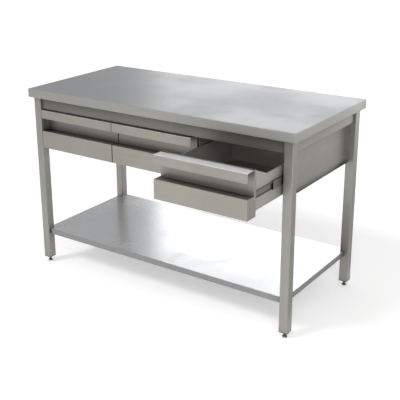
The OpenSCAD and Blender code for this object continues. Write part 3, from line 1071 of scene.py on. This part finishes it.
class WORKTABLE_OT_frame(bpy.types.Operator):
    """Make the square legs and the rail channels."""

    bl_idname = "worktable.frame"
    bl_label = "Legs and rails"

    def execute(self, context):
        s = settings(context).sheet
        for corner in CORNERS:
            lo, hi = BOX[f"leg_{corner}"]
            bm = bmesh.new()
            w = s.leg_wall
            steps = [(0.0, lo.z), (0.0, hi.z), (w, hi.z), (w, lo.z)]
            join_rings(bm, outline_rings(rectangle(lo, hi), steps, s.leg_corner), closed=True)
            obj = as_object(f"leg_tube_{corner}", bm, material("leg_steel"), s.edge)
            hand_over(obj, "table", "stainless_tube", f"leg_{corner}")
        # The front and rear rails take the darker rail colour, painted shade under the worktop.
        for node, web, finish_name in (
            ("front_rail", -1, "rail_steel"),
            ("rear_rail", 1, "rail_steel"),
            ("left_rail", -1, "side_rail_steel"),
            ("right_rail", 1, "side_rail_steel"),
        ):
            lo, hi = BOX[node]
            t = s.rail_wall
            long = node in ("front_rail", "rear_rail")
            near, far = (lo.y, hi.y) if long else (lo.x, hi.x)
            face, inner = (near + t / 2, far) if web < 0 else (far - t / 2, near)
            top, foot = hi.z - t / 2, lo.z + t / 2
            path = [(inner, top), (face, top), (face, foot), (inner, foot)]
            bm = bmesh.new()
            span = (lo.x, hi.x) if long else (lo.y, hi.y)
            add_strip(bm, path, t, s.bend + t / 4, span, along_x if long else along_y)
            obj = as_object(f"{node}_channel", bm, material(finish_name))
            hand_over(obj, "table", "stainless_sheet", node)
        return {"FINISHED"}


class WORKTABLE_OT_shelf(bpy.types.Operator):
    """Fold the notched lower shelf."""

    bl_idname = "worktable.shelf"
    bl_label = "Lower shelf"

    def execute(self, context):
        s = settings(context).sheet
        lo, hi = BOX["lower_shelf"]
        nx = BOX["leg_rear_right"][0].x - s.shelf_gap
        ny = BOX["leg_rear_right"][0].y - s.shelf_gap
        outline = [
            (hi.x, -ny), (hi.x, ny), (nx, ny), (nx, hi.y), (-nx, hi.y), (-nx, ny),
            (lo.x, ny), (lo.x, -ny), (-nx, -ny), (-nx, lo.y), (nx, lo.y), (nx, -ny),
        ]  # fmt: skip
        bm = bmesh.new()
        steps = pan_steps(lo.z, hi.z, s.sheet, s.shelf_bend, s.shelf_return)
        join_rings(bm, outline_rings(outline, steps, s.shelf_corner), closed=False)
        obj = as_object("shelf_sheet", bm, material("shelf_steel"), s.edge)
        hand_over(obj, "table", "stainless_shelf", "lower_shelf")
        finish("shelf_brackets", material("zinc_channel"))
        return {"FINISHED"}


class WORKTABLE_OT_casing(bpy.types.Operator):
    """Fold the side panels, the rear panel and the dividers."""

    bl_idname = "worktable.casing"
    bl_label = "Casing"

    def execute(self, context):
        s = settings(context).sheet
        t = s.panel_wall
        rail_under = BOX["front_rail"][0].z - 0.001
        for side, place_y, place_z in (
            ("right", along_y, along_z),
            ("left", mirrored(along_y), mirrored(along_z)),
        ):
            lo, hi = BOX[f"{side}_side_panel"]
            inner, outer = sorted((abs(lo.x), abs(hi.x)))
            wall = inner + t / 2
            end = hi.y - t / 2
            step = lo.z + 0.005
            between_legs = (lo.y + 0.003, hi.y - 0.003)
            bm = bmesh.new()
            plan = [(outer, -end), (wall, -end), (wall, end), (outer, end)]
            add_strip(bm, plan, t, s.bend, (step, rail_under), place_z)
            upright = [(wall, hi.z), (wall, rail_under)]
            add_strip(bm, upright, t, s.bend, between_legs, place_y)
            foot = [(wall, step), (wall, lo.z + t / 2), (inner + t + s.panel_foot, lo.z + t / 2)]
            add_strip(bm, foot, t, s.bend, between_legs, place_y)
            obj = as_object(f"{side}_side_sheet", bm, material("casing_steel"))
            hand_over(obj, "table", "stainless_sheet", f"{side}_side_panel")
        lo, hi = BOX["rear_panel"]
        t = s.sheet
        face, side = lo.y + t / 2, hi.x - t / 2
        bm = bmesh.new()
        path = [(side, hi.y), (side, face), (-side, face), (-side, hi.y)]
        add_strip(bm, path, t, s.bend, (lo.z, hi.z), along_z)
        obj = as_object("rear_sheet", bm, material("casing_steel"), s.edge)
        hand_over(obj, "table", "stainless_sheet", "rear_panel")
        for side in ("left", "right"):
            lo, hi = BOX[f"{side}_divider"]
            middle, half = (lo.x + hi.x) / 2, 0.0009
            high, low = hi.z - t / 2, lo.z + t / 2
            path = [(lo.x, high), (middle - half, high), (middle - half, low)]
            path += [(middle + half, low), (middle + half, high), (hi.x, high)]
            bm = bmesh.new()
            add_strip(bm, path, t, half, (lo.y, hi.y), along_y)
            obj = as_object(f"{side}_divider_sheet", bm, material("tray_steel"))
            hand_over(obj, "table", "stainless_sheet", f"{side}_divider")
        return {"FINISHED"}


class WORKTABLE_OT_drawers(bpy.types.Operator):
    """Fold the drawer fronts, trays and backs, and set their buffers."""

    bl_idname = "worktable.drawers"
    bl_label = "Drawers"

    def execute(self, context):
        s, d = settings(context).sheet, settings(context).drawer
        for n in DRAWERS:
            self.front(n, s, d)
            self.tray(n, s, d)
            self.back(n, s)
            self.buffers(n)
        return {"FINISHED"}

    @staticmethod
    def front(n, s, d):
        """Folds a drawer's front: the lip, the recess behind it, the plain face and two end caps."""
        lo, hi = BOX[f"drawer_{n}_front"]
        t, half, middle = s.sheet, (hi.x - lo.x) / 2, (lo.x + hi.x) / 2
        y0, y1, z0, z1 = lo.y, hi.y, lo.z, hi.z
        lip_foot, face_top, recess = z1 - d.lip, z0 + d.face, y0 + d.grip
        c = d.lip_corner
        path = [(y0 + t / 2, lip_foot + c * (1 - math.cos(math.radians(15 * k)))) for k in range(7)]
        path += [
            (y0 + t / 2, z1 - t / 2),
            (recess - t / 2, z1 - t / 2),
            (recess - t / 2, face_top - t / 2),
            (y0 + t / 2, face_top - t / 2),
            (y0 + t / 2, z0 + t / 2),
            (y1 - t, z0 + t / 2),
        ]

        def span(p):
            if p.x < y0 + t and lip_foot - 1e-6 <= p.y < lip_foot + c:
                w = half - c + math.sqrt(max(0.0, c * c - (lip_foot + c - p.y) ** 2))
            elif p.y > z1 - t and p.x < recess - 0.004 or p.x < y0 + t + 0.002 and p.y > lip_foot:
                w = half
            else:
                w = half - t
            return middle - w, middle + w

        bm = bmesh.new()
        add_strip(bm, path, t, s.bend, span, along_x)
        bend, cut = s.bend + t / 2, 0.0006
        for sign in (-1, 1):
            outline = rounded_outline(
                [(y0, z0), (y1, z0), (y1, z1), (recess - t, z1), (recess - t, face_top), (y0, face_top)],
                [bend, cut, cut, cut, cut, bend],
            )
            add_plate(bm, outline, middle + sign * (half - t), middle + sign * half, along_x)
            inner = sorted((middle + sign * (half - d.flange), middle + sign * (half - t)))
            add_plate(bm, rectangle((inner[0], z0), (inner[1], z1)), y1 - t, y1, along_y)
        obj = as_object(f"drawer_{n}_folded_front", bm, material("front_steel"), s.edge)
        hand_over(obj, f"drawer_{n}", "stainless_drawers", f"drawer_{n}_front")

    @staticmethod
    def tray(n, s, d):
        """Folds a tray's floor and walls. The front end of each wall rises to the inner front wall."""
        lo, hi = BOX[f"drawer_{n}_tray"]
        rim = BOX[f"drawer_{n}_back"][1].z
        t, seam = s.sheet, 1e-6
        y0, y1 = lo.y + t, hi.y
        left, right, floor = lo.x + t / 2, hi.x - t / 2, lo.z + t / 2

        def span(p):
            if p.y > rim + seam:
                return y0, lo.y + d.gusset * (hi.z - p.y) / (hi.z - rim) + 0.0002
            if p.y > rim - seam:
                return y0, lo.y + d.gusset
            return y0, y1

        path = [(left, hi.z), (left, rim), (left, rim - 1.2 * seam), (left, floor)]
        path += [(right, floor), (right, rim - 1.2 * seam), (right, rim), (right, hi.z)]
        bm = bmesh.new()
        add_strip(bm, path, t, s.bend, span, along_y)
        add_plate(bm, rectangle((lo.x, lo.z), (hi.x, hi.z)), lo.y, lo.y + t, along_y)
        for a, b in ((lo.x + t, lo.x + d.hem), (hi.x - d.hem, hi.x - t)):
            hem = rectangle((a, rim - t), (b, rim))
            add_plate(bm, hem, lo.y + d.gusset, BOX[f"drawer_{n}_back"][0].y, along_y)
        obj = as_object(f"drawer_{n}_folded_tray", bm, material("tray_steel"))
        hand_over(obj, f"drawer_{n}", "stainless_drawers", f"drawer_{n}_tray", f"drawer_{n}_walls")

    @staticmethod
    def back(n, s):
        """Folds a tray's back wall."""
        lo, hi = BOX[f"drawer_{n}_back"]
        t = s.sheet
        path = [(lo.y, lo.z + t / 2), (hi.y - t / 2, lo.z + t / 2), (hi.y - t / 2, hi.z)]
        bm = bmesh.new()
        add_strip(bm, path, t, s.bend, (lo.x, hi.x), along_x)
        obj = as_object(f"drawer_{n}_folded_back", bm, material("tray_steel"), s.edge)
        hand_over(obj, f"drawer_{n}", "stainless_drawers", f"drawer_{n}_back")

    @staticmethod
    def buffers(n):
        """Moulds a drawer's two buffers, each with a narrower nose."""
        lo, hi = BOX[f"drawer_{n}_buffers"]
        r, high = (hi.z - lo.z) / 2, hi.y - lo.y
        nose = r * 0.82
        bm = bmesh.new()
        for x in (lo.x + r, hi.x - r):
            profile = [(0, 0), (r - 0.0004, 0), (r, 0.0005), (r - 0.0004, 0.0025), (nose, high - 0.002)]
            profile += [(nose - 0.0006, high - 0.0006), (nose - 0.002, high), (0, high)]
            add_turned(bm, profile, (x, lo.y, (lo.z + hi.z) / 2), (0, 1, 0))
        obj = as_object(f"drawer_{n}_rubber_buffers", bm, material("buffer_rubber"), smooth=50.0)
        hand_over(obj, f"drawer_{n}", "rubber_black", f"drawer_{n}_buffers")


class WORKTABLE_OT_slides(bpy.types.Operator):
    """Fold the slide members and grow their ball cages."""

    bl_idname = "worktable.slides"
    bl_label = "Drawer slides"

    def execute(self, context):
        s, d = settings(context).sheet, settings(context).drawer
        for n in DRAWERS:
            for part, deep, body in (
                ("slide_fixed", d.fixed_deep, "table"),
                ("slide_middle", d.middle_deep, f"drawer_{n}_middle"),
                ("slide_inner", -d.inner_deep, f"drawer_{n}"),
            ):
                self.member(n, part, deep, body, s)
            for part, body in (("balls_outer", "cage_outer"), ("balls_inner", "cage_inner")):
                self.cage(n, part, f"drawer_{n}_{body}", d)
        return {"FINISHED"}

    @staticmethod
    def member(n, part, deep, body, s):
        """A pair of channels. A positive depth opens towards the drawer, a negative one away from it."""
        node = f"drawer_{n}_{part}"
        lo, hi = BOX[node]
        t, middle = s.sheet, (lo.x + hi.x) / 2
        web, open_end = (hi.x - t / 2, hi.x - deep) if deep > 0 else (hi.x + deep + t / 2, hi.x)
        top, foot = hi.z - t / 2, lo.z + t / 2
        path = [(open_end, top), (web, top), (web, foot), (open_end, foot)]
        bm = bmesh.new()
        for place in (along_y, mirrored(along_y, middle)):
            add_strip(bm, path, t, s.slide_bend, (lo.y, hi.y), place)
        obj = as_object(f"{node}_channels", bm, material("zinc_strip"))
        hand_over(obj, body, "zinc_plated_steel", node)

    @staticmethod
    def cage(n, part, body, d):
        """Grows the four cage strips of one kind, each with its balls."""
        node = f"drawer_{n}_{part}"
        lo, hi = BOX[node]
        half_strip = 0.002
        xs = (lo.x + half_strip, hi.x - half_strip)
        zs = (lo.z + d.ball, hi.z - d.ball)
        obj = points_object(f"{node}_cages", [(x, lo.y, z) for x in xs for z in zs])
        long = hi.y - lo.y
        margin = (long - d.ball_step * (d.balls - 1)) / 2
        values = {
            "Balls": d.balls,
            "Ball radius": d.ball,
            "First ball": (0.0, margin, 0.0),
            "Ball step": (0.0, d.ball_step, 0.0),
            "Strip size": (2 * half_strip, long, 0.0008),
            "Strip middle": (0.0, long / 2, 0.0),
            "Material": material("ball_steel"),
        }
        grow(obj, "Ball cages", values)
        hand_over(obj, body, "ball_cages", node)


class WORKTABLE_OT_fasteners(bpy.types.Operator):
    """Set the screws, bolts and lock nuts on their seats."""

    bl_idname = "worktable.fasteners"
    bl_label = "Screws, bolts and nuts"

    def execute(self, context):
        f = settings(context).fastener
        screws = [("panel_screws", "table")] + [(f"drawer_{n}_screws", f"drawer_{n}") for n in DRAWERS]
        for seed, (node, body) in enumerate(screws):
            seats, aims, reach = seats_of(node, f.head_high)
            self.set_on(node, body, seats, aims, self.pan_screw(f, reach), 3.0, seed)
        seats, aims, reach = seats_of("frame_bolts", f.bolt_high)
        self.set_on("frame_bolts", "table", seats, aims, self.hex_bolt(f, reach), 1.0, 10)
        lo, hi = BOX["foot_lock_nuts"]
        seats = []
        for corner in CORNERS:
            a, b = BOX[f"foot_{corner}"]
            seats.append(((a.x + b.x) / 2, (a.y + b.y) / 2, lo.z))
        aims = [(0, 0, 1)] * 4
        self.set_on("foot_lock_nuts", "table", seats, aims, self.lock_nut(f, hi.z - lo.z), 1.0, 20)
        finish("leg_plugs", material("plug_nylon"))
        return {"FINISHED"}

    @staticmethod
    def set_on(node, body, seats, aims, item, most_turn, seed):
        """Sets copies of an item on their seats, and hands them over for a node."""
        obj = points_object(f"{node}_set", seats, aims)
        values = {
            "Fastener": item,
            "Most turn": most_turn,
            "Seed": seed,
            "Material": material("fastener_steel"),
        }
        grow(obj, "Fasteners on seats", values)
        bpy.data.objects.remove(item)
        hand_over(obj, body, "stainless_fasteners", node)

    @staticmethod
    def pan_screw(f, reach):
        """A pan head with a cross recess, on a plain shank."""
        r, h, shank = f.head, f.head_high, f.screw_shank
        quarter_turn = ROUND_SIDES // 4

        def cross(z, size):
            arms = [k % quarter_turn in (0, 1, quarter_turn - 1) for k in range(ROUND_SIDES)]
            return [
                (x, y, z) if arm else (x * 0.42, y * 0.42, z) for (x, y, z), arm in zip(circle(size, z), arms)
            ]

        profile = [(shank, -reach), (shank, 0.0), (r - 0.0002, 0.0), (r, 0.0003), (r, h * 0.45)]
        profile += [(r * 0.93, h * 0.68), (r * 0.78, h * 0.88), (r * 0.62, h)]
        rings = [circle(radius, z) for radius, z in profile]
        rings += [cross(h, r * 0.5), cross(h - f.cross_deep, r * 0.38)]
        bm = bmesh.new()
        join_rings(bm, rings, closed=False)
        return as_plain("pan_screw", bm)

    @staticmethod
    def hex_bolt(f, reach):
        """A hexagon head with a chamfered top, on a plain shank."""
        bm = bmesh.new()
        r, h, shank = f.bolt_head, f.bolt_high, f.bolt_shank
        rings = [hexagon(shank, -reach, shank), hexagon(shank, 0.0, shank), hexagon(r, 0.0)]
        rings += [hexagon(r, h - 0.0006), hexagon(r, h, r * 0.9)]
        join_rings(bm, rings, closed=False)
        return as_plain("hex_bolt", bm)

    @staticmethod
    def lock_nut(f, high):
        """A hexagon nut with both ends chamfered."""
        bm = bmesh.new()
        r, bore, chamfer = f.nut, f.nut_bore, 0.0008
        rings = [hexagon(bore, 0.0, bore), hexagon(r, 0.0, r * 0.9), hexagon(r, chamfer)]
        rings += [hexagon(r, high - chamfer), hexagon(r, high, r * 0.9), hexagon(bore, high, bore)]
        join_rings(bm, rings, closed=True)
        return as_plain("lock_nut", bm)


def hexagon(radius, z, limit=1.0):
    """A ring along a hexagon, cut back to a circle of radius limit where it reaches past it."""
    out = []
    for k in range(36):
        a = 2 * math.pi * k / 36
        off = (a % (math.pi / 3)) - math.pi / 6
        r = min(radius * math.cos(math.pi / 6) / math.cos(off), limit) if limit > radius * 0.867 else limit
        out.append((r * math.cos(a), r * math.sin(a), z))
    return out


def as_plain(name, bm):
    """A plain object, such as one for a tree to copy or a plate of the stage."""
    bmesh.ops.recalc_face_normals(bm, faces=bm.faces)
    mesh = bpy.data.meshes.new(name)
    bm.to_mesh(mesh)
    bm.free()
    mesh.shade_smooth()
    mesh.set_sharp_from_angle(angle=math.radians(SMOOTH_ANGLE))
    obj = bpy.data.objects.new(name, mesh)
    bpy.context.scene.collection.objects.link(obj)
    return obj


class WORKTABLE_OT_feet(bpy.types.Operator):
    """Turn the four feet and wind their threads."""

    bl_idname = "worktable.feet"
    bl_label = "Feet"

    def execute(self, context):
        f = settings(context).fastener
        for corner in CORNERS:
            lo, hi = BOX[f"foot_{corner}"]
            r = (hi.x - lo.x) / 2
            x, y = (lo.x + hi.x) / 2, (lo.y + hi.y) / 2
            top = hi.z - lo.z
            core = f.core
            profile = [(0, 0), (r - 0.0012, 0), (r - 0.0003, 0.0004), (r, 0.0012), (r, 0.0048)]
            profile += [(r - 0.0006, 0.0058), (core + 0.0022, 0.0074), (core + 0.0012, 0.008), (core, 0.0082)]
            profile += [(core, top - 0.001), (core - 0.001, top), (0, top)]
            bm = bmesh.new()
            add_turned(bm, profile, (x, y, lo.z), (0, 0, 1), sides=40)
            obj = as_object(f"foot_{corner}_turned", bm, material("turned_steel"))
            obj.modifiers.clear()
            values = {
                "Foot": (x, y, lo.z + f.thread_start),
                "Turns": float(f.turns),
                "Thread length": f.turns * f.pitch,
                "Thread radius": f.thread,
                "Ridge": f.ridge,
                "Material": material("turned_steel"),
            }
            grow(obj, "Spindle thread", values)
            hand_over(obj, f"foot_{corner}", "stainless_feet", f"foot_{corner}")
        return {"FINISHED"}


class WORKTABLE_OT_stage(bpy.types.Operator):
    """Set up the floor, the light and the camera."""

    bl_idname = "worktable.stage"
    bl_label = "Stage"

    def execute(self, context):
        g = settings(context).stage
        scene = context.scene
        ground = CAD_BOX[0].z
        reach = 30.0
        paint = glowing("floor_paint", g.floor, g.glow, 0.9)
        self.plate("floor", (-reach, -reach), (reach, reach), (ground - 0.02, ground), paint)

        world = bpy.data.worlds.new("room")
        world.use_nodes = True
        tree = world.node_tree
        seen = times(tree, add_node(tree, "ShaderNodeLightPath").outputs["Is Camera Ray"], 1.1)
        white = {"Color": (1.0, 1.0, 1.0, 1.0), "Strength": maths(tree, "MAXIMUM", seen, g.sky)}
        wire(tree, tree.nodes["Background"].inputs, white)
        scene.world = world

        self.sun("key_light", g.key, angle=14.0, towards=(-0.35, -0.58, 0.73))
        box = self.panel("soft_box", g.box, size=(1.8, 1.8), place=(2.2, -2.4, 2.0), aim=(0.5, 0.0, 0.6))
        box.visible_glossy = False
        for name, low, high, brightness in (
            ("right_flag", (0.76, -0.3), (3.2, 3.4), g.right_card),
            ("left_flag", (-4.2, -3.6), (-1.7, -0.9), g.left_card),
        ):
            paint = glowing(f"{name}_card", (0.0, 0.0, 0.0), brightness)
            card = self.plate(name, low, high, (ground + 0.010, ground + 0.012), paint)
            card.visible_camera = card.visible_diffuse = card.visible_shadow = False
        back = self.panel("back_panel", g.back, size=(5.2, 2.6), place=(0.1, 3.0, 1.3), aim=(0.1, 0.0, 1.3))
        back.visible_diffuse = False

        camera = bpy.data.cameras.new("camera")
        camera.sensor_width = 36.0
        camera.lens = g.lens
        camera.shift_x, camera.shift_y = g.shift
        camera.clip_start, camera.clip_end = 0.05, 100.0
        obj = bpy.data.objects.new("camera", camera)
        scene.collection.objects.link(obj)
        turn, tilt, roll = (math.radians(a) for a in (g.turn, g.tilt, g.roll))
        forward = Vector((-math.sin(turn) * math.cos(tilt), math.cos(turn) * math.cos(tilt), -math.sin(tilt)))
        right = Vector((math.cos(turn), math.sin(turn), 0.0))
        up = right.cross(forward)
        across = right * math.cos(roll) + up * math.sin(roll)
        upward = up * math.cos(roll) - right * math.sin(roll)
        rotation = Matrix((across, upward, -forward)).transposed().to_4x4()
        obj.matrix_world = Matrix.Translation(g.eye) @ rotation
        scene.camera = obj
        scene.view_settings.view_transform = "Standard"
        return {"FINISHED"}

    @staticmethod
    def plate(name, low, high, span, paint):
        """A flat plate of the stage, from corner low to corner high, over a span of heights."""
        bm = bmesh.new()
        add_plate(bm, rectangle(low, high), *span, along_z)
        obj = as_plain(name, bm)
        obj.data.materials.append(paint)
        return obj

    @staticmethod
    def panel(name, radiance, size, place, aim):
        """A flat, even light of the given width and height at place, facing the point aim."""
        light = bpy.data.lights.new(name, "AREA")
        light.shape = "RECTANGLE"
        light.size, light.size_y = size
        light.energy = radiance * math.pi * size[0] * size[1]
        obj = bpy.data.objects.new(name, light)
        obj.location = place
        obj.rotation_mode = "QUATERNION"
        obj.rotation_quaternion = (Vector(place) - Vector(aim)).to_track_quat("Z", "Y")
        obj.visible_camera = False
        bpy.context.scene.collection.objects.link(obj)
        return obj

    @staticmethod
    def sun(name, strength, angle, towards):
        """A broad, even light that comes from the direction towards."""
        light = bpy.data.lights.new(name, "SUN")
        light.energy = strength
        light.angle = math.radians(angle)
        obj = bpy.data.objects.new(name, light)
        obj.rotation_mode = "QUATERNION"
        obj.rotation_quaternion = Vector(towards).to_track_quat("Z", "Y")
        bpy.context.scene.collection.objects.link(obj)


class WorkTableSettings(bpy.types.PropertyGroup):
    """All settings of the work table."""

    sheet: PointerProperty(type=SheetSizes, name="Sheet", description="Walls and bends")
    drawer: PointerProperty(type=DrawerSizes, name="Drawers", description="Drawers and slides")
    fastener: PointerProperty(type=FastenerSizes, name="Fasteners", description="Screws, bolts and threads")
    finish: PointerProperty(type=FinishSettings, name="Finishes", description="Colours")
    stage: PointerProperty(type=StageSettings, name="Stage", description="Camera, floor and lights")


STEPS = (
    WORKTABLE_OT_finishes,
    WORKTABLE_OT_worktop,
    WORKTABLE_OT_frame,
    WORKTABLE_OT_shelf,
    WORKTABLE_OT_casing,
    WORKTABLE_OT_drawers,
    WORKTABLE_OT_slides,
    WORKTABLE_OT_fasteners,
    WORKTABLE_OT_feet,
    WORKTABLE_OT_stage,
)


class VIEW3D_PT_work_table(bpy.types.Panel):
    """The steps that build the work table, in order."""

    bl_label = "Work Table"
    bl_space_type = "VIEW_3D"
    bl_region_type = "UI"
    bl_category = "Work Table"

    def draw(self, context):
        for step in STEPS:
            self.layout.operator(step.bl_idname)


CLASSES = (
    SheetSizes,
    DrawerSizes,
    FastenerSizes,
    FinishSettings,
    StageSettings,
    WorkTableSettings,
    *STEPS,
    VIEW3D_PT_work_table,
)


def register():
    for cls in CLASSES:
        bpy.utils.register_class(cls)
    bpy.types.Scene.work_table = PointerProperty(type=WorkTableSettings)


def unregister():
    del bpy.types.Scene.work_table
    for cls in reversed(CLASSES):
        bpy.utils.unregister_class(cls)


def main():
    """Builds the table step by step."""
    register()
    for step in STEPS:
        group, name = step.bl_idname.split(".")
        getattr(getattr(bpy.ops, group), name)()
    bpy.context.view_layer.update()


if __name__ == "__main__":
    main()
